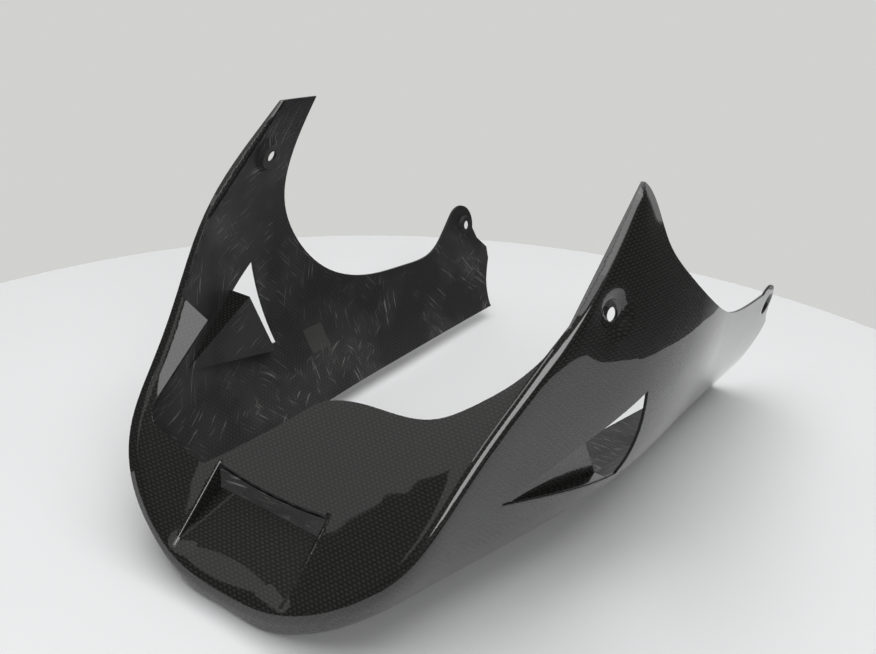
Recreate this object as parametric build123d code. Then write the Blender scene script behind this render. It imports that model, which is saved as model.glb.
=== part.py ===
# One-piece belly pan of a motorcycle, a thin moulded shell
# Nose towards -Y, tail towards +Y, +Z up, resting on its underside at Z = 0
# Lengths in millimetres, angles in degrees
# Inside this file Y runs back from the front lip, and the last step centres the part
import os
from build123d import *

# Overall sizes
length = 509.0
wall = 2.0
floor_depth = 108.0

# Plan outline of the moulding at rising heights:
# height, lip, then half-widths at the nose, shoulder, waist, hip and tail stations
nose_station = 10.0
shoulder_station = 60.0
waist_station = 190.0
hip_station = 330.0
outline_rows = [
    (0.0, 0.0, 48.0, 70.0, 98.0, 108.0, 114.0),
    (15.0, -6.0, 71.0, 90.0, 116.0, 125.0, 130.0),
    (50.0, -9.0, 97.0, 117.0, 147.0, 150.0, 146.0),
    (127.0, -12.0, 108.0, 127.0, 171.0, 170.0, 161.0),
    (185.0, -12.0, 108.0, 129.0, 166.0, 168.0, 160.0),
    (235.0, -12.0, 102.0, 122.0, 152.0, 154.0, 148.0),
    (275.0, -12.0, 96.0, 116.0, 144.0, 144.0, 138.0),
]

# Sloping deck between the two ridges: its profile on the middle plane, and how far it bows up at the sides
deck_lip_height = 19.0
deck_rise = [(-45.0, -42.0), (0.0, 0.0), (45.0, 45.5), (90.0, 92.0), (150.0, 149.0), (230.0, 224.0)]
deck_bow = 25.0
deck_bow_reach = 118.0
ridge_radius = 4.5

# Free edge of the deck in plan: horn returns, far strip, header-pipe notch, and the sweep up to the near horn
return_reach = 145.0
return_start = 130.0
strip_outer = (132.0, 90.0)
strip_inner = (106.0, 90.0)
notch_outer = (111.0, 37.0)
notch_inner = (57.0, 37.0)
notch_radius = 9.0
knee_radius = 25.0
sweep_points = [(0.0, 86.0), (60.0, 90.0), (92.0, 91.0), (112.0, 98.0), (128.0, 106.0), (139.0, 116.0)]

# Side trims: cut edge of each wall, along and up
near_horn_top = (190.0, 257.5)
near_trim = [(197.5, 257.0), (205.5, 252.5), (212.0, 243.0), (220.0, 217.0), (238.0, 195.0), (263.0, 175.0),
             (301.0, 152.0), (352.0, 131.0), (411.0, 118.0), (450.0, 113.0)]
near_ear_peak = (470.0, 116.0)
far_horn_front = (206.0, 259.0)
far_horn_rear = (246.0, 257.0)
far_trim = [(237.0, 234.0), (231.0, 205.0), (231.0, 180.0), (247.0, 138.0), (281.0, 100.0), (322.0, 84.0),
            (377.0, 80.0), (423.0, 85.0), (441.0, 99.0), (454.0, 112.0)]
far_ear_peak = (469.0, 118.0)
ear_rear = (488.0, 92.0)
tail_edge = [(494.0, 80.0), (length, 67.0), (length, 55.0), (497.0, 35.0), (488.0, 14.0)]

# Screw holes in dimples: hole size, dimple sizes, and where each one lies along and up the wall
hole_radius = 4.5
seat_radius = 8.5
dimple_radius = 15.0
dimple_depth = 4.0
ear_seat_radius = 6.5
ear_dimple_radius = 10.0
ear_dimple_depth = 3.0
near_front_hole = (162.0, 187.0)
far_front_hole = (201.0, 218.0)
ear_hole = (475.0, 97.0)

# Side vents: apex and the two ends of the lip on the wall, then how deep the ramp sinks and how far before
# the lip it stops, at the top and at the bottom
vent_apex = (94.0, 84.0)
vent_top = (193.0, 131.0)
vent_bottom = (201.0, 61.0)
vent_top_depth = 20.0
vent_bottom_depth = 9.0
vent_top_gap = 33.0
vent_bottom_gap = 11.0
vent_rim = 2.8

# Intake scoop in the deck
intake_half_width = 46.0
intake_front = 10.0
intake_back = 42.0
intake_depth = 15.0
intake_lead = 10.0

# Underside opening: flange widths, and where the near flange starts to narrow
near_flange = 30.0
near_flange_end = 5.0
near_flange_bend = 300.0
far_flange = 9.0
far_lift = 12.0
far_lift_start = 214.0

# Run-out of cutting shapes past the part
overrun = 60.0

# Worked out from the sizes above, and the shoulder's place in a section's points
shoulder_index = 3
deck_slope = (deck_rise[2][1] - deck_rise[1][1]) / (deck_rise[2][0] - deck_rise[1][0])
deck_drop = wall * (1 + deck_slope ** 2) ** 0.5
reach = max(max(row[2:]) for row in outline_rows) + overrun
tall = outline_rows[-1][0] + 2 * overrun


def outline_points(row, inset):
    """Places that the plan section passes through at one height, from tail to nose and back."""
    height, lip, nose, shoulder, waist, hip, tail = row
    side = [
        (tail - inset, length + overrun, height),
        (hip - inset, hip_station, height),
        (waist - inset, waist_station, height),
        (shoulder - inset, shoulder_station, height),
        (nose - inset, nose_station + inset, height),
    ]
    return [*side, (0, lip + inset, height), *[(-x, y, z) for x, y, z in reversed(side)]]


def chord_shares(points):
    """Share of the whole chord length reached at each point."""
    steps = [(Vector(*b) - Vector(*a)).length for a, b in zip(points, points[1:])]
    return [sum(steps[:count]) / sum(steps) for count in range(len(points))]


def outline(row, inset):
    """Closed plan section of the hull at one height, pulled in by inset: two sides and the nose."""
    shares = chord_shares(outline_points(outline_rows[1], 0))
    curve = Edge.make_spline(outline_points(row, inset), [(0, -1, 0), (0, 1, 0)], parameters=shares)
    stops = (0, shares[shoulder_index], 1 - shares[shoulder_index], 1)
    stretches = [curve.trim(start, end) for start, end in zip(stops, stops[1:])]
    return make_face([*stretches, Line(curve @ 1, curve @ 0)])


def side_hull(inset):
    """Solid between the side walls, closed round the nose."""
    return loft([outline(row, inset) for row in outline_rows])


def deck_profile(x, drop):
    """Profile under the deck at one distance from the middle."""
    lift = deck_lip_height + deck_bow * (x / deck_bow_reach) ** 2 - drop
    top = Spline(*[(x, y, z + lift) for y, z in deck_rise])
    start, end = top @ 0, top @ 1
    ground = -tall
    loop = Polyline(end, (x, length + 2 * overrun, end.Z), (x, length + 2 * overrun, ground),
                    (x, start.Y, ground), start)
    return make_face([top, loop])


def deck_body(drop):
    """Everything under the deck surface, lowered by drop."""
    return loft([deck_profile(x, drop) for x in (-reach, -reach / 2, 0, reach / 2, reach)])


def prism(points, low, high):
    """Upright prism over a plan polygon."""
    return extrude(Plane.XY.offset(low) * make_face(Polyline(*points, close=True)), high - low)


def side_prism(edges, side):
    """Prism across one half of the pan from edges drawn in the side view."""
    face = make_face(edges)
    return extrude(face, amount=tall, dir=(side, 0, 0))


def side_point(point):
    """Side-view point as a place on the middle plane."""
    return (0, point[0], point[1])


def half_space(corner, along, across, side):
    """Large block on the outer side of the plane through three places."""
    origin, a, b = Vector(*corner), Vector(*along), Vector(*across)
    normal = (a - origin).cross(b - origin).normalized()
    if normal.dot(side) < 0:
        normal = -normal
    frame = Plane(origin=origin, x_dir=a - origin, z_dir=normal)
    return frame * Box(4 * tall, 4 * tall, tall, align=(Align.CENTER, Align.CENTER, Align.MIN))


def skin_point(hull, side, point):
    """Place on the outer skin, with its outward normal, for a side-view point."""
    hits = hull.find_intersection_points(Axis((0, point[0], point[1]), (side, 0, 0)))
    place, normal = max(hits, key=lambda hit: side * hit[0].X)
    if normal.X * side < 0:
        normal = -normal
    return place, normal


def rounded(body):
    """Hull cut by the deck, with the ridge between the two rounded."""
    deck = body.faces().filter_by(GeomType.BSPLINE).sort_by(lambda face: face.normal_at().Z)[-1]
    ridge = deck.edges().sort_by(Axis.Y)[:-1]
    return fillet(ridge, ridge_radius)


def basic_shell():
    """Moulded shell before any trimming, its outer body, its inner hull and its outer hull."""
    hull = side_hull(0)
    inner_hull = side_hull(wall)
    outer = rounded(hull & deck_body(0))
    inner = inner_hull & deck_body(deck_drop)
    back = length + overrun
    room = prism([(-reach, -overrun), (reach, -overrun), (reach, back), (-reach, back)], wall, tall)
    return outer - (inner & room), outer, inner_hull, hull


def deck_cut(inner_hull):
    """What is taken out behind the free edge of the deck."""
    back = length + overrun
    horn_return = ((return_reach, back), (return_reach, return_start))
    far_edge = [(-x, y) for x, y in (*horn_return, strip_outer, strip_inner, notch_outer, notch_inner)]
    sweep = Spline(*sweep_points)
    loop = Polyline(sweep @ 1, *reversed(horn_return), *far_edge, sweep @ 0)
    cutter = extrude(Plane.XY.offset(2 * wall) * make_face([sweep, loop]), tall)
    knee = cutter.edges().filter_by(Axis.Z).sort_by_distance((*sweep_points[0], 0))[0]
    cutter = fillet(knee, knee_radius)
    notch_corners = cutter.edges().filter_by(Axis.Z).sort_by(Axis.Y)[:2]
    return fillet(notch_corners, notch_radius) & inner_hull


def wall_trim(side, top_edges):
    """What is taken off above the trimmed edge and behind the tail of one wall."""
    start, end = top_edges[0] @ 0, top_edges[-1] @ 1
    foot = tail_edge[-1][0]
    back = length + 2 * overrun
    rest = Polyline(end, *[side_point(p) for p in tail_edge], (0, foot, -wall), (0, back, -wall),
                    (0, back, tall), (0, start.Y, tall), start)
    return side_prism([*top_edges, rest], side)


def near_wall_trim():
    """Short horn that falls in one long sweep to the ear."""
    sweep = Spline(*[side_point(p) for p in (near_horn_top, *near_trim)])
    ear = ThreePointArc(sweep @ 1, side_point(near_ear_peak), side_point(ear_rear))
    return wall_trim(1, [sweep, ear])


def far_wall_trim():
    """Tall slender horn, deep scallop and ear."""
    top = Line(side_point(far_horn_front), side_point(far_horn_rear))
    sweep = Spline(*[side_point(p) for p in (far_horn_rear, *far_trim)])
    ear = ThreePointArc(sweep @ 1, side_point(far_ear_peak), side_point(ear_rear))
    return wall_trim(-1, [top, sweep, ear])


def underside_cut():
    """Opening in the underside, with a wide flange on one side and a narrow one on the other."""
    waist, tail = outline_rows[0][4], outline_rows[0][6]
    back = length + overrun
    bend = waist - near_flange + (tail - waist) * (near_flange_bend - waist_station) / (back - waist_station)
    loop = [
        (waist - near_flange, floor_depth + near_flange), (bend, near_flange_bend),
        (tail - near_flange_end, length), (tail - near_flange_end, back), (-tail + far_flange, back),
        (-waist + far_flange, floor_depth + far_flange), (-waist + 3 * far_flange, floor_depth),
        (waist - 2 * near_flange, floor_depth),
    ]
    return prism(loop, -wall, 2 * wall)


def far_foot_cut():
    """Strip taken off the lower edge of the far wall behind its front part."""
    edge = Polyline((0, far_lift_start - far_lift, -wall), (0, far_lift_start, far_lift),
                    (0, length + overrun, far_lift), (0, length + overrun, -wall), close=True)
    return extrude(make_face(edge), amount=reach, dir=(-1, 0, 0))


def dimple(hull, side, point, seat, mouth, depth):
    """Cup and clearance of a screw hole whose dimple is pressed square into the wall."""
    place, normal = skin_point(hull, side, point)
    inward = Plane(origin=place, z_dir=-normal)
    flare = (mouth - seat) / depth
    start = wall / 2
    upright = (Align.CENTER, Align.CENTER, Align.MIN)
    cup = Cone(mouth + wall - start * flare, seat + wall, depth + wall - start, align=upright)
    void = inward.offset(-depth) * Cone(mouth + depth * flare, seat, 2 * depth, align=upright)
    hole = inward.offset(-depth) * Cylinder(hole_radius, 4 * depth, align=upright)
    return inward.offset(start) * cup, void + hole


def edge_point(start, end, along):
    """Place on the straight edge between two side-view points at one distance along."""
    share = (along - start[0]) / (end[0] - start[0])
    return (along, start[1] + share * (end[1] - start[1]))


def vent(hull, outer, side):
    """Ramped side vent: the pocket's walls and the space they enclose."""
    stop_top = edge_point(vent_apex, vent_top, vent_top[0] - vent_top_gap)
    stop_bottom = edge_point(vent_apex, vent_bottom, vent_bottom[0] - vent_bottom_gap)
    outward = Vector(side, 0, 0)
    apex, _ = skin_point(hull, side, vent_apex)
    top, _ = skin_point(hull, side, stop_top)
    bottom, _ = skin_point(hull, side, stop_bottom)
    ramp = (apex, top - outward * vent_top_depth, bottom - outward * vent_bottom_depth)
    under = [place - outward * wall for place in ramp]
    mouth = Polyline(side_point(vent_apex), side_point(vent_top), side_point(vent_bottom), close=True)
    rim = Polyline(side_point((vent_apex[0] - 2 * vent_rim, vent_apex[1])),
                   side_point((stop_top[0], stop_top[1] + vent_rim)),
                   side_point((stop_bottom[0], stop_bottom[1] - vent_rim)), close=True)
    pocket = side_prism([rim], side) & half_space(*under, outward) & outer
    space = side_prism([mouth], side) & half_space(*ramp, outward)
    return pocket, space


def intake(outer):
    """Scoop in the deck: its walls and the space they enclose."""
    front = deck_lip_height + deck_slope * intake_front
    back = deck_lip_height + deck_slope * intake_back - intake_depth
    ramp = [(0, intake_front, front), (intake_half_width, intake_front, front), (0, intake_back, back)]
    under = [(x, y, z - deck_drop) for x, y, z in ramp]
    up = Vector(0, 0, 1)
    lead, w = intake_front - intake_lead, intake_half_width
    mouth = prism([(-w, lead), (w, lead), (w, intake_back), (-w, intake_back)], 0, tall)
    w += wall
    lead -= wall
    rim = prism([(-w, lead), (w, lead), (w, intake_back), (-w, intake_back)], 0, tall)
    pocket = rim & half_space(*under, up) & outer
    space = mouth & half_space(*ramp, up)
    return pocket, space


def belly_pan():
    """The finished moulding."""
    pan, outer, inner_hull, hull = basic_shell()
    pockets, spaces = [], []
    for side in (1, -1):
        pocket, space = vent(hull, outer, side)
        pockets.append(pocket)
        spaces.append(space)
    pocket, space = intake(outer)
    pockets.append(pocket)
    spaces.append(space)
    for side, point in ((1, near_front_hole), (-1, far_front_hole)):
        cup, space = dimple(hull, side, point, seat_radius, dimple_radius, dimple_depth)
        pockets.append(cup)
        spaces.append(space)
    for side in (1, -1):
        cup, space = dimple(hull, side, ear_hole, ear_seat_radius, ear_dimple_radius, ear_dimple_depth)
        pockets.append(cup)
        spaces.append(space)
    pan = pan - deck_cut(inner_hull) - underside_cut()
    for pocket in pockets:
        pan = pan + pocket
    for space in spaces:
        pan = pan - space
    for cut in (near_wall_trim(), far_wall_trim(), far_foot_cut()):
        pan = pan - cut
    return Pos(0, -pan.bounding_box().center().Y, 0) * pan


os.makedirs("parts", exist_ok=True)
export_step(belly_pan(), "parts/belly_pan.step")
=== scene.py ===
# Finish of a carbon-fibre belly pan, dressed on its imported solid
# Metres, nose towards -Y, +Z up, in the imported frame
import math

import bmesh
import bpy
from mathutils import Matrix, Vector, noise
from mathutils.kdtree import KDTree


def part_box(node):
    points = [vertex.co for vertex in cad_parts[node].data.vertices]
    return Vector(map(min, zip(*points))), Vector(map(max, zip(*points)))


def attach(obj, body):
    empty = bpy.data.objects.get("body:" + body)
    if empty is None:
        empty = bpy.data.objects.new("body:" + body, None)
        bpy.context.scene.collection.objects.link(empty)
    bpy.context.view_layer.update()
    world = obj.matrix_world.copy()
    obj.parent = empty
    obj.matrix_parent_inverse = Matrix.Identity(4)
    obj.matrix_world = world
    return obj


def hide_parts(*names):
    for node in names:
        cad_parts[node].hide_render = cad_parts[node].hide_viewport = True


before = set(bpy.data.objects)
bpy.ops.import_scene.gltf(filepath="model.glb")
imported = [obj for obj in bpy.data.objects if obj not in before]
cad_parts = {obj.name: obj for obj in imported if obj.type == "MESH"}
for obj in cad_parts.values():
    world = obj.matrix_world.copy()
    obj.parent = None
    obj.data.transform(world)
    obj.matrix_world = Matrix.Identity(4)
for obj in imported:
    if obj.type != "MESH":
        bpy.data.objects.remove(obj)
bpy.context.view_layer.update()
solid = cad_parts["belly_pan"]
low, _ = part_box("belly_pan")

# Camera, fitted to the photograph
image_width = 876
focal_pixels = 950.0
sensor_width = 36.0
camera_pitch = math.radians(22.164)
camera_azimuth = math.radians(35.880)
pan_roll = math.radians(3.0)
camera_place = Vector((0.360, low.y - 0.2993, 0.3956))

# Mesh of the shell
weld = 0.00001
longest_edge = 0.008
split_passes = 7
sample_step = 0.0015
crease_angle = math.radians(32)
rim_width = 0.0034

# Places on the part that decide which side of the wall a face is on
core_front = low.y + 0.135
core_height = 0.020
scoop_half_width = 0.0485
scoop_front = low.y + 0.012
scoop_back = low.y + 0.050
wall_slant = 0.62

# Deck, and how far the lacquer rolls over its ridge and over the rims of the vents and the scoop
deck_lip = 0.019
deck_slope = 1.01
deck_bow = 0.025
deck_bow_reach = 0.118
deck_front = low.y + 0.0057
ridge_band = 0.011
soft_angle = math.radians(9)
nose_height = 0.075
horn_height = 0.150
tip_height = 0.190
horn_band = 0.045
ridge_core = 0.0075
ridge_reach = 0.026
deck_share = 0.62
deck_look = 0.55
ridge_finest = 0.0013
coarsening = 7
rim_core = 0.0018
rim_reach = 0.0040
rim_finest = 0.0010
core_share = 0.68

# Trimmed edges: how much a corner keeps its own way and leans to the side it meets
rim_own = 0.7
rim_lean = 0.75

# Hand-laid surface: slow waves in the lacquer
wave_pitch = 0.030
wave_tilt = 0.008
wave_seed = 1

# Cloth, with the height stretched a little on the slanted walls
tow_width = 0.0021
cloth_rise = 1.05
diagonal = math.sqrt(0.5)

# Lacquered outside, the over tows painted lighter as a sheen on the weave pattern
lacquer_under = (0.0085, 0.0087, 0.0078)
lacquer_over_sheen = (0.0225, 0.0227, 0.0200)
# Painted shade towards each tow's edge, where it dives under the next
lacquer_crease_shade = (0.002, 0.002, 0.002)
tow_roughness = 0.45
tow_specular = 0.15
lacquer_roughness = 0.03
lacquer_ior = 1.65

# Bare inside, with its scuffs and one bare square
laminate_under = (0.017, 0.0175, 0.0170)
# Over tows inside painted lighter as a sheen on the weave pattern
laminate_over_sheen = (0.027, 0.0275, 0.0265)
# Painted shade towards each tow's edge, where it dives under the next
laminate_crease_shade = (0.015, 0.015, 0.015)
laminate_specular = 0.25
laminate_roughness = 0.50
rubbed_polish = 0.10
tow_bump = 0.25
tow_height = 0.0002
scratch_colour = (0.30, 0.30, 0.29)
scratch_turns = (0.35, 1.20, 2.35)
scratch_amount = 0.8
scratch_stretch = (60.0, 700.0, 34.0)
scratch_detail = 2.0
scratch_from, scratch_full = 0.63, 0.73
bend_scale = 9.0
bend_reach = 0.035
rubbed_scale = 17.0
rubbed_detail = 3.0
rubbed_from, rubbed_full = 0.50, 0.62
haze_colour = (0.075, 0.076, 0.074)
haze_amount = 0.16
bare_colour = (0.055, 0.056, 0.053)
bare_amount = 0.75
bare_patch_middle = (low.y + 0.2512, 0.051)
bare_patch_half = (0.0115, 0.0092)

# Trimmed edge of the laminate
edge_grain = 900.0
edge_dark, edge_pale = (0.3, 0.004), (0.7, 0.016)
edge_roughness = 0.32
edge_specular = 0.3

# Table, room and light
table_radius = 0.60
table_middle = (0.016, -0.081, 0.0)
table_thickness = 0.025
table_edge = 0.006
table_colour = (0.80, 0.805, 0.81)
table_roughness = 0.7
table_specular = 0.2
table_sides = 160
table_edge_steps = 4
wall_azimuth = -144.0
wall_elevation = 12
wall_glow = 0.64
wall_warmth = 0.985
wall_from, wall_full = 0.45, 0.80
room_dim = 0.075

# Soft panels: name, azimuth, elevation, distance, width, height, glow
panels = [
    ("ceiling", 0, 90, 2.4, 3.0, 3.0, 1.70),
    ("key", -150, 62, 2.2, 1.8, 1.4, 0.3),
    ("fill", 105, 72, 2.4, 2.0, 1.4, 0.55),
    ("window", -58, 36, 2.5, 2.0, 0.70, 0.42),
    ("low_window", -59, 21.5, 2.5, 0.20, 0.07, 2.4),
    ("lamp", -17, 47, 2.0, 0.60, 0.42, 2.3),
    ("behind_camera", 48, 32, 2.2, 1.2, 0.75, 4.6),
]

OUTSIDE, INSIDE, RIM = 0, 1, 2


def link(tree, start, end):
    tree.links.new(start, end)


def add(tree, kind, **values):
    """New node with its plain settings."""
    node = tree.nodes.new(kind)
    for name, value in values.items():
        setattr(node, name, value)
    return node


def maths(tree, operation, first, second=None, clamp=False):
    """Math node on two sockets or numbers."""
    node = add(tree, "ShaderNodeMath", operation=operation, use_clamp=clamp)
    for socket, value in zip(node.inputs, (first, second)):
        if value is None:
            continue
        if isinstance(value, (int, float)):
            socket.default_value = value
        else:
            link(tree, value, socket)
    return node.outputs[0]


def ramp(tree, value, *stops):
    """Colour ramp through (place, grey or colour) stops."""
    node = add(tree, "ShaderNodeValToRGB")
    while len(node.color_ramp.elements) < len(stops):
        node.color_ramp.elements.new(0.5)
    for element, (place, colour) in zip(node.color_ramp.elements, stops):
        element.position = place
        shade = (colour, colour, colour) if isinstance(colour, (int, float)) else colour
        element.color = (*shade, 1)
    link(tree, value, node.inputs[0])
    return node.outputs[0]


def new_group(name, inputs, outputs):
    """Empty shader group with named sockets."""
    group = bpy.data.node_groups.new(name, "ShaderNodeTree")
    for label, kind, value in inputs:
        socket = group.interface.new_socket(label, in_out="INPUT", socket_type=kind)
        if value is not None:
            socket.default_value = value
    for label, kind in outputs:
        group.interface.new_socket(label, in_out="OUTPUT", socket_type=kind)
    return group, group.nodes.new("NodeGroupInput"), group.nodes.new("NodeGroupOutput")


def weave_group():
    """Plain weave: which tow is on top, its sheen across the tow, and its height."""
    group, start, end = new_group(
        "Plain weave",
        [("Cloth", "NodeSocketVector", None), ("Tow width", "NodeSocketFloat", tow_width)],
        [("Over", "NodeSocketFloat"), ("Crown", "NodeSocketFloat"), ("Height", "NodeSocketFloat")])
    split = add(group, "ShaderNodeSeparateXYZ")
    link(group, start.outputs["Cloth"], split.inputs[0])
    warp = maths(group, "DIVIDE", split.outputs[0], start.outputs["Tow width"])
    weft = maths(group, "DIVIDE", split.outputs[1], start.outputs["Tow width"])
    cells = maths(group, "ADD", maths(group, "FLOOR", warp), maths(group, "FLOOR", weft))
    over = maths(group, "FLOORED_MODULO", cells, 2.0)
    crowns = []
    for count in (warp, weft):
        wave = maths(group, "SINE", maths(group, "MULTIPLY", maths(group, "FRACT", count), math.pi))
        crowns.append(wave)
    link(group, over, end.inputs["Over"])
    link(group, crowns[1], end.inputs["Crown"])
    link(group, maths(group, "MULTIPLY", crowns[0], crowns[1]), end.inputs["Height"])
    return group


def scuff_group():
    """Fine pale scratches that run one way, where handling has rubbed the wall."""
    group, start, end = new_group(
        "Scuffs", [("Place", "NodeSocketVector", None), ("Turn", "NodeSocketFloat", 0.0),
                   ("Amount", "NodeSocketFloat", 0.5)],
        [("Scratch", "NodeSocketFloat"), ("Rubbed", "NodeSocketFloat")])
    turn = add(group, "ShaderNodeVectorRotate", rotation_type="X_AXIS")
    link(group, start.outputs["Place"], turn.inputs["Vector"])
    link(group, start.outputs["Turn"], turn.inputs["Angle"])
    stretch = add(group, "ShaderNodeVectorMath", operation="MULTIPLY")
    bend = add(group, "ShaderNodeTexNoise")
    link(group, start.outputs["Place"], bend.inputs["Vector"])
    bend.inputs["Scale"].default_value = bend_scale
    swing = add(group, "ShaderNodeVectorMath", operation="SCALE")
    link(group, bend.outputs["Color"], swing.inputs[0])
    swing.inputs["Scale"].default_value = bend_reach
    bent = add(group, "ShaderNodeVectorMath", operation="ADD")
    link(group, turn.outputs[0], bent.inputs[0])
    link(group, swing.outputs[0], bent.inputs[1])
    link(group, bent.outputs[0], stretch.inputs[0])
    stretch.inputs[1].default_value = scratch_stretch
    streaks = add(group, "ShaderNodeTexNoise")
    link(group, stretch.outputs[0], streaks.inputs["Vector"])
    streaks.inputs["Scale"].default_value = 1.0
    streaks.inputs["Detail"].default_value = scratch_detail
    patches = add(group, "ShaderNodeTexNoise")
    link(group, turn.outputs[0], patches.inputs["Vector"])
    patches.inputs["Scale"].default_value = rubbed_scale
    patches.inputs["Detail"].default_value = rubbed_detail
    fine = ramp(group, streaks.outputs[0], (scratch_from, 0.0), (scratch_full, 1.0))
    where = ramp(group, patches.outputs[0], (rubbed_from, 0.0), (rubbed_full, 1.0))
    worn = maths(group, "MULTIPLY", fine, where)
    scratch = maths(group, "MULTIPLY", worn, start.outputs["Amount"], clamp=True)
    link(group, scratch, end.inputs["Scratch"])
    link(group, where, end.inputs["Rubbed"])
    return group


def place_group(tree, group, **values):
    """Group node with its own values."""
    node = add(tree, "ShaderNodeGroup", node_tree=group)
    for label, value in values.items():
        node.inputs[label.replace("_", " ")].default_value = value
    return node


def mixed(tree, factor, first, second):
    """Colour mix of two sockets or colours."""
    node = add(tree, "ShaderNodeMix", data_type="RGBA")
    for socket, value in ((node.inputs[0], factor), (node.inputs[6], first), (node.inputs[7], second)):
        if isinstance(value, (int, float)):
            socket.default_value = value
        elif isinstance(value, tuple):
            socket.default_value = (*value, 1)
        else:
            link(tree, value, socket)
    return node.outputs[2]


def new_material(name):
    material = bpy.data.materials.new(name)
    material.use_nodes = True
    tree = material.node_tree
    return material, tree, tree.nodes["Principled BSDF"]


def cloth_tone(tree, weave, under, over, crease_shade):
    """Colour of the woven tows: the over tows painted lighter as a sheen, and painted shade darkening
    each tow where it dives under the next.
    """
    cloth = add(tree, "ShaderNodeUVMap", uv_map="cloth")
    tows = place_group(tree, weave)
    link(tree, cloth.outputs[0], tows.inputs["Cloth"])
    tone = mixed(tree, tows.outputs["Over"], under, over)
    return mixed(tree, tows.outputs["Crown"], crease_shade, tone), tows


def lacquered_carbon(weave):
    """Outside: black tows under clear lacquer."""
    material, tree, shader = new_material("lacquered_carbon")
    tone, _ = cloth_tone(tree, weave, lacquer_under, lacquer_over_sheen, lacquer_crease_shade)
    link(tree, tone, shader.inputs["Base Color"])
    shader.inputs["Roughness"].default_value = tow_roughness
    shader.inputs["Specular IOR Level"].default_value = tow_specular
    shader.inputs["Coat Weight"].default_value = 1.0
    shader.inputs["Coat Roughness"].default_value = lacquer_roughness
    shader.inputs["Coat IOR"].default_value = lacquer_ior
    return material


def inside_box(tree, value, middle, half):
    """1 where a coordinate lies within half of its middle."""
    away = maths(tree, "ABSOLUTE", maths(tree, "SUBTRACT", value, middle))
    return maths(tree, "LESS_THAN", away, half)


def bare_laminate(weave, scuffs):
    """Inside: satin resin over the cloth, scratched by handling, with one bare square."""
    material, tree, shader = new_material("bare_laminate")
    tone, tows = cloth_tone(tree, weave, laminate_under, laminate_over_sheen, laminate_crease_shade)
    place = add(tree, "ShaderNodeTexCoord")
    split = add(tree, "ShaderNodeSeparateXYZ")
    link(tree, place.outputs["Object"], split.inputs[0])
    worn = tone
    for turn in scratch_turns:
        marks = place_group(tree, scuffs, Turn=turn, Amount=scratch_amount)
        link(tree, place.outputs["Object"], marks.inputs["Place"])
        worn = mixed(tree, marks.outputs["Scratch"], worn, scratch_colour)
        haze = maths(tree, "MULTIPLY", marks.outputs["Rubbed"], haze_amount)
        worn = mixed(tree, haze, worn, haze_colour)
    across = inside_box(tree, split.outputs["Y"], bare_patch_middle[0], bare_patch_half[0])
    upright = inside_box(tree, split.outputs["Z"], bare_patch_middle[1], bare_patch_half[1])
    on_far_wall = maths(tree, "LESS_THAN", split.outputs["X"], 0.0)
    bare = maths(tree, "MULTIPLY", maths(tree, "MULTIPLY", across, upright), on_far_wall)
    worn = mixed(tree, maths(tree, "MULTIPLY", bare, bare_amount), worn, bare_colour)
    link(tree, worn, shader.inputs["Base Color"])
    shader.inputs["Specular IOR Level"].default_value = laminate_specular
    polish = maths(tree, "MULTIPLY", marks.outputs["Rubbed"], rubbed_polish)
    link(tree, maths(tree, "SUBTRACT", laminate_roughness, polish), shader.inputs["Roughness"])
    bump = add(tree, "ShaderNodeBump")
    bump.inputs["Strength"].default_value = tow_bump
    bump.inputs["Distance"].default_value = tow_height
    link(tree, tows.outputs["Height"], bump.inputs["Height"])
    link(tree, bump.outputs[0], shader.inputs["Normal"])
    return material


def cut_edge():
    """Trimmed edge of the laminate, sanded and sealed."""
    material, tree, shader = new_material("cut_edge")
    place = add(tree, "ShaderNodeTexCoord")
    layers = add(tree, "ShaderNodeTexNoise")
    layers.inputs["Scale"].default_value = edge_grain
    link(tree, place.outputs["Object"], layers.inputs["Vector"])
    link(tree, ramp(tree, layers.outputs[0], edge_dark, edge_pale), shader.inputs["Base Color"])
    shader.inputs["Roughness"].default_value = edge_roughness
    shader.inputs["Specular IOR Level"].default_value = edge_specular
    return material


def faces_outward(face):
    """Whether a face is on the outside of the moulding."""
    middle = face.calc_center_median()
    if in_scoop(middle) and face.normal.z > -0.5:
        return face.normal.y < 0.55
    core = Vector((0, max(middle.y, core_front), core_height))
    return (middle - core).dot(face.normal) > 0


def smooth_patches(bm):
    """Groups of faces that join over soft edges."""
    patches, seen = [], set()
    for first in bm.faces:
        if first in seen:
            continue
        patch, queue = [], [first]
        seen.add(first)
        while queue:
            face = queue.pop()
            patch.append(face)
            for edge in face.edges:
                if not edge.smooth:
                    continue
                for other in edge.link_faces:
                    if other not in seen:
                        seen.add(other)
                        queue.append(other)
        patches.append(patch)
    return patches


def sort_faces(bm):
    """Finish of each patch: outside, inside or trimmed rim, by its width and the way it looks."""
    for edge in bm.edges:
        edge.smooth = edge.calc_face_angle(0) < crease_angle
    for patch in smooth_patches(bm):
        area = sum(face.calc_area() for face in patch)
        border = sum(edge.calc_length() for face in patch for edge in face.edges if not edge.smooth)
        vote = sum(face.calc_area() * (1 if faces_outward(face) else -1) for face in patch)
        narrow = border > 0 and 2 * area / border < rim_width
        finish = RIM if narrow else OUTSIDE if vote > 0 else INSIDE
        for face in patch:
            face.material_index = finish
            face.smooth = True


def lay_cloth(bm):
    """Cloth coordinates in metres: along the wall, or across and down the deck."""
    layer = bm.loops.layers.uv.new("cloth")
    for face in bm.faces:
        on_wall = abs(face.normal.x) > wall_slant
        for loop in face.loops:
            place = loop.vert.co
            if on_wall:
                loop[layer].uv = (place.y, place.z * cloth_rise)
            else:
                loop[layer].uv = (place.x, (place.y + place.z) * diagonal)


def keep_normals(bm):
    """Store the solid's surface normal at each corner, so that finer faces take it over."""
    layer = bm.loops.layers.float_vector.new("shade")
    corners = [loop for face in bm.faces for loop in face.loops]
    for loop, normal in zip(corners, solid.data.corner_normals):
        loop[layer] = normal.vector


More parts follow.
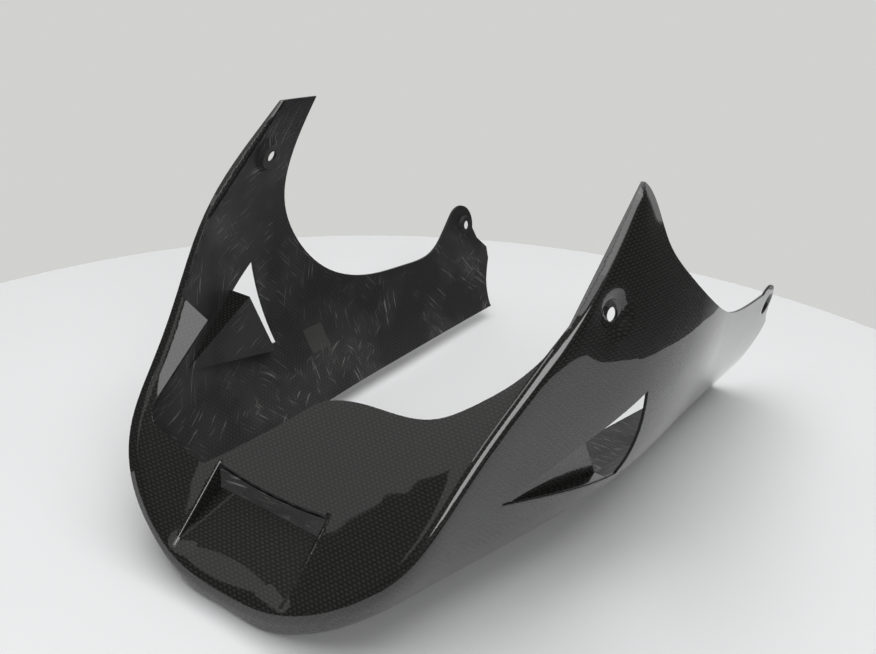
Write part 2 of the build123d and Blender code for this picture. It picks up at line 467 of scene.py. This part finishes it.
def split_edges(bm, limit):
    """Halve the edges that are longer than the limit given for them, a few times over."""
    for _ in range(split_passes):
        long_edges = [edge for edge in bm.edges if edge.calc_length() > limit(edge)]
        bmesh.ops.subdivide_edges(bm, edges=long_edges, cuts=1)
        bmesh.ops.triangulate(bm, faces=[face for face in bm.faces if len(face.verts) > 3])


def deck_height(place):
    """Height of the deck's surface at one place."""
    return deck_lip + (place.y - deck_front) * deck_slope + deck_bow * (place.x / deck_bow_reach) ** 2


def in_scoop(place):
    """Whether a place belongs to the scoop in the deck."""
    return abs(place.x) < scoop_half_width and place.y < scoop_back


def outer_creases(bm):
    """Outside creases: those of the ridge, then those round the vents and the scoop."""
    ridge, rims = [], []
    for edge in bm.edges:
        sides = sorted(face.material_index for face in edge.link_faces)
        if not edge.is_convex or edge.calc_face_angle(0) < soft_angle:
            continue
        if sides[0] != OUTSIDE or INSIDE in sides:
            continue
        middle = (edge.verts[0].co + edge.verts[1].co) / 2
        on_horn = middle.z > horn_height
        near_deck = abs(middle.z - deck_height(middle)) < (horn_band if on_horn else ridge_band)
        on_ridge = near_deck and (middle.y < scoop_front or not in_scoop(middle))
        if RIM in sides and not (middle.z > tip_height and on_ridge):
            continue
        if edge.smooth and not (on_ridge and middle.z < nose_height):
            continue
        (ridge if on_ridge else rims).append(edge)
    return ridge, rims


def crease_tree(edges, layer):
    """Search tree of places along creases, with the way that each crease looks."""
    samples, looks = [], {}
    for edge in edges:
        for face in edge.link_faces:
            for loop in face.loops:
                if loop.vert in edge.verts:
                    looks[loop.vert] = looks.get(loop.vert, Vector()) + loop[layer]
    for edge in edges:
        start, end = edge.verts
        steps = max(1, math.ceil(edge.calc_length() / sample_step))
        for step in range(steps + 1):
            look = looks[start].normalized().lerp(looks[end].normalized(), step / steps)
            samples.append((start.co.lerp(end.co, step / steps), look.normalized()))
    tree = KDTree(len(samples))
    for index, (place, _) in enumerate(samples):
        tree.insert(place, index)
    tree.balance()
    return tree, [look for _, look in samples]


def refine(bm, tree, reach, finest):
    """Smaller faces near a crease."""
    def limit(edge):
        middle = (edge.verts[0].co + edge.verts[1].co) / 2
        away = max(0, tree.find(middle)[2] - edge.calc_length() / 2)
        return finest * (1 + coarsening * away / reach) if away < reach else longest_edge
    split_edges(bm, limit)


def soften(bm, layer, tree, looks, core, reach):
    """Let the lacquer roll over a crease: tightly in its core, gently out to its reach."""
    for face in bm.faces:
        if face.material_index != OUTSIDE:
            continue
        for loop in face.loops:
            _, index, away = tree.find(loop.vert.co)
            if away < reach:
                spread = reach * deck_share if loop[layer].z > deck_look else reach
                tight = max(0, 1 - (away / core) ** 2) ** 2
                gentle = max(0, 1 - away / spread) ** 2
                share = core_share * tight + (1 - core_share) * gentle
                loop[layer] = loop[layer].lerp(looks[index], share).normalized()


def wave_lacquer(bm, layer):
    """Slow waves of a hand-laid surface."""
    noise.seed_set(wave_seed)
    for face in bm.faces:
        if face.material_index == OUTSIDE:
            for loop in face.loops:
                tilt = noise.noise_vector(loop.vert.co / wave_pitch)
                loop[layer] = (loop[layer] + tilt * wave_tilt).normalized()


def round_rims(bm, layer):
    """Trimmed edges look rounded: each corner leans towards the side that it meets."""
    sides = {}
    for face in bm.faces:
        if face.material_index != RIM:
            for loop in face.loops:
                sides.setdefault(loop.vert, Vector())
                sides[loop.vert] += loop[layer]
    for face in bm.faces:
        if face.material_index == RIM:
            for loop in face.loops:
                side = sides.get(loop.vert, Vector())
                if side.length > 0:
                    loop[layer] = (face.normal * rim_own + side.normalized() * rim_lean).normalized()


def pan_shell(finishes):
    """Copy of the solid with a finish for each side, a soft ridge and rounded trims."""
    bm = bmesh.new()
    bm.from_mesh(solid.data)
    keep_normals(bm)
    bmesh.ops.remove_doubles(bm, verts=bm.verts, dist=weld)
    bmesh.ops.dissolve_degenerate(bm, dist=weld, edges=bm.edges)
    sort_faces(bm)
    ridge, rims = outer_creases(bm)
    layer = bm.loops.layers.float_vector["shade"]
    ridge_tree, ridge_looks = crease_tree(ridge, layer)
    rim_tree, rim_looks = crease_tree(rims, layer)
    refine(bm, ridge_tree, ridge_reach, ridge_finest)
    refine(bm, rim_tree, rim_reach, rim_finest)
    soften(bm, layer, ridge_tree, ridge_looks, ridge_core, ridge_reach)
    soften(bm, layer, rim_tree, rim_looks, rim_core, rim_reach)
    wave_lacquer(bm, layer)
    round_rims(bm, layer)
    lay_cloth(bm)
    layer = bm.loops.layers.float_vector["shade"]
    normals = [loop[layer].normalized() for face in bm.faces for loop in face.loops]
    bm.loops.layers.float_vector.remove(layer)
    mesh = bpy.data.meshes.new("pan_shell")
    bm.to_mesh(mesh)
    bm.free()
    mesh.normals_split_custom_set(normals)
    for finish in finishes:
        mesh.materials.append(finish)
    shell = bpy.data.objects.new("pan_shell", mesh)
    bpy.context.scene.collection.objects.link(shell)
    return shell


def stage_paint(name, colour, roughness):
    material, _, shader = new_material(name)
    shader.inputs["Base Color"].default_value = (*colour, 1)
    shader.inputs["Roughness"].default_value = roughness
    shader.inputs["Specular IOR Level"].default_value = table_specular
    return material


def build_table():
    """Round white table under the pan, with a soft edge."""
    bm = bmesh.new()
    bmesh.ops.create_circle(bm, cap_ends=True, segments=table_sides, radius=table_radius)
    skirt = bmesh.ops.extrude_face_region(bm, geom=list(bm.faces))
    lowered = [item for item in skirt["geom"] if isinstance(item, bmesh.types.BMVert)]
    bmesh.ops.translate(bm, verts=lowered, vec=(0, 0, -table_thickness))
    bmesh.ops.recalc_face_normals(bm, faces=bm.faces)
    middle = -table_thickness / 2
    rim = [edge for edge in bm.edges if edge.calc_face_angle(0) > 1 and edge.verts[0].co.z > middle]
    bmesh.ops.bevel(bm, geom=rim, offset=table_edge, segments=table_edge_steps, affect="EDGES",
                    profile=0.5, material=-1)
    bmesh.ops.translate(bm, verts=bm.verts, vec=table_middle)
    for face in bm.faces:
        face.smooth = len(face.verts) == 4
    mesh = bpy.data.meshes.new("table")
    bm.to_mesh(mesh)
    bm.free()
    mesh.materials.append(stage_paint("table_paper", table_colour, table_roughness))
    table = bpy.data.objects.new("table", mesh)
    bpy.context.scene.collection.objects.link(table)


def heading(azimuth, elevation):
    """Direction in the pan's frame: azimuth 0 towards the nose, 90 towards +X."""
    a, e = math.radians(azimuth), math.radians(elevation)
    return Vector((math.sin(a) * math.cos(e), -math.cos(a) * math.cos(e), math.sin(e)))


def soft_panel(name, azimuth, elevation, distance, width, height, glow):
    """Evenly glowing panel that faces the pan; glow 1 looks white."""
    data = bpy.data.lights.new(name, "AREA")
    data.shape = "RECTANGLE"
    data.size = width
    data.size_y = height
    data.energy = glow * math.pi * width * height
    lamp = bpy.data.objects.new(name, data)
    ray = heading(azimuth, elevation)
    lamp.location = ray * distance
    lamp.rotation_euler = (-ray).to_track_quat("-Z", "Y").to_euler()
    bpy.context.scene.collection.objects.link(lamp)


def build_room():
    """Dim room with a pale wall behind the pan; a plain pale ground in the picture."""
    world = bpy.data.worlds.new("room")
    world.use_nodes = True
    tree = world.node_tree
    glow = tree.nodes["Background"]
    gaze = add(tree, "ShaderNodeTexCoord")
    facing = add(tree, "ShaderNodeVectorMath", operation="DOT_PRODUCT")
    link(tree, gaze.outputs["Generated"], facing.inputs[0])
    facing.inputs[1].default_value = heading(wall_azimuth, wall_elevation)
    room = ramp(tree, facing.outputs["Value"], (wall_from, room_dim), (wall_full, wall_glow))
    seen = add(tree, "ShaderNodeLightPath")
    ground = (wall_glow, wall_glow, wall_glow * wall_warmth)
    link(tree, mixed(tree, seen.outputs["Is Camera Ray"], room, ground), glow.inputs["Color"])
    bpy.context.scene.world = world


def build_light():
    """Soft panels round the pan, and the room."""
    for panel in panels:
        soft_panel(*panel)
    build_room()


def build_camera():
    """Camera at the photograph's place, with the table's tilt taken into the pan's frame."""
    sin_a, cos_a = math.sin(camera_azimuth), math.cos(camera_azimuth)
    sin_p, cos_p = math.sin(camera_pitch), math.cos(camera_pitch)
    right = Vector((cos_a, sin_a, 0))
    ahead = Vector((-sin_a * cos_p, cos_a * cos_p, -sin_p))
    lean = Matrix.Rotation(-pan_roll, 3, "Y")
    right, ahead = lean @ right, lean @ ahead
    up = right.cross(ahead)
    turn = Matrix((right, up, -ahead)).transposed()
    data = bpy.data.cameras.new("photo_camera")
    data.sensor_fit = "HORIZONTAL"
    data.sensor_width = sensor_width
    data.lens = focal_pixels / image_width * sensor_width
    camera = bpy.data.objects.new("photo_camera", data)
    camera.matrix_world = Matrix.Translation(camera_place) @ turn.to_4x4()
    bpy.context.scene.collection.objects.link(camera)
    bpy.context.scene.camera = camera


weave = weave_group()
scuffs = scuff_group()
shell = pan_shell([lacquered_carbon(weave), bare_laminate(weave, scuffs), cut_edge()])
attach(shell, "root")
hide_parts("belly_pan")
build_table()
build_light()
build_camera()
bpy.context.scene.view_settings.view_transform = "Standard"
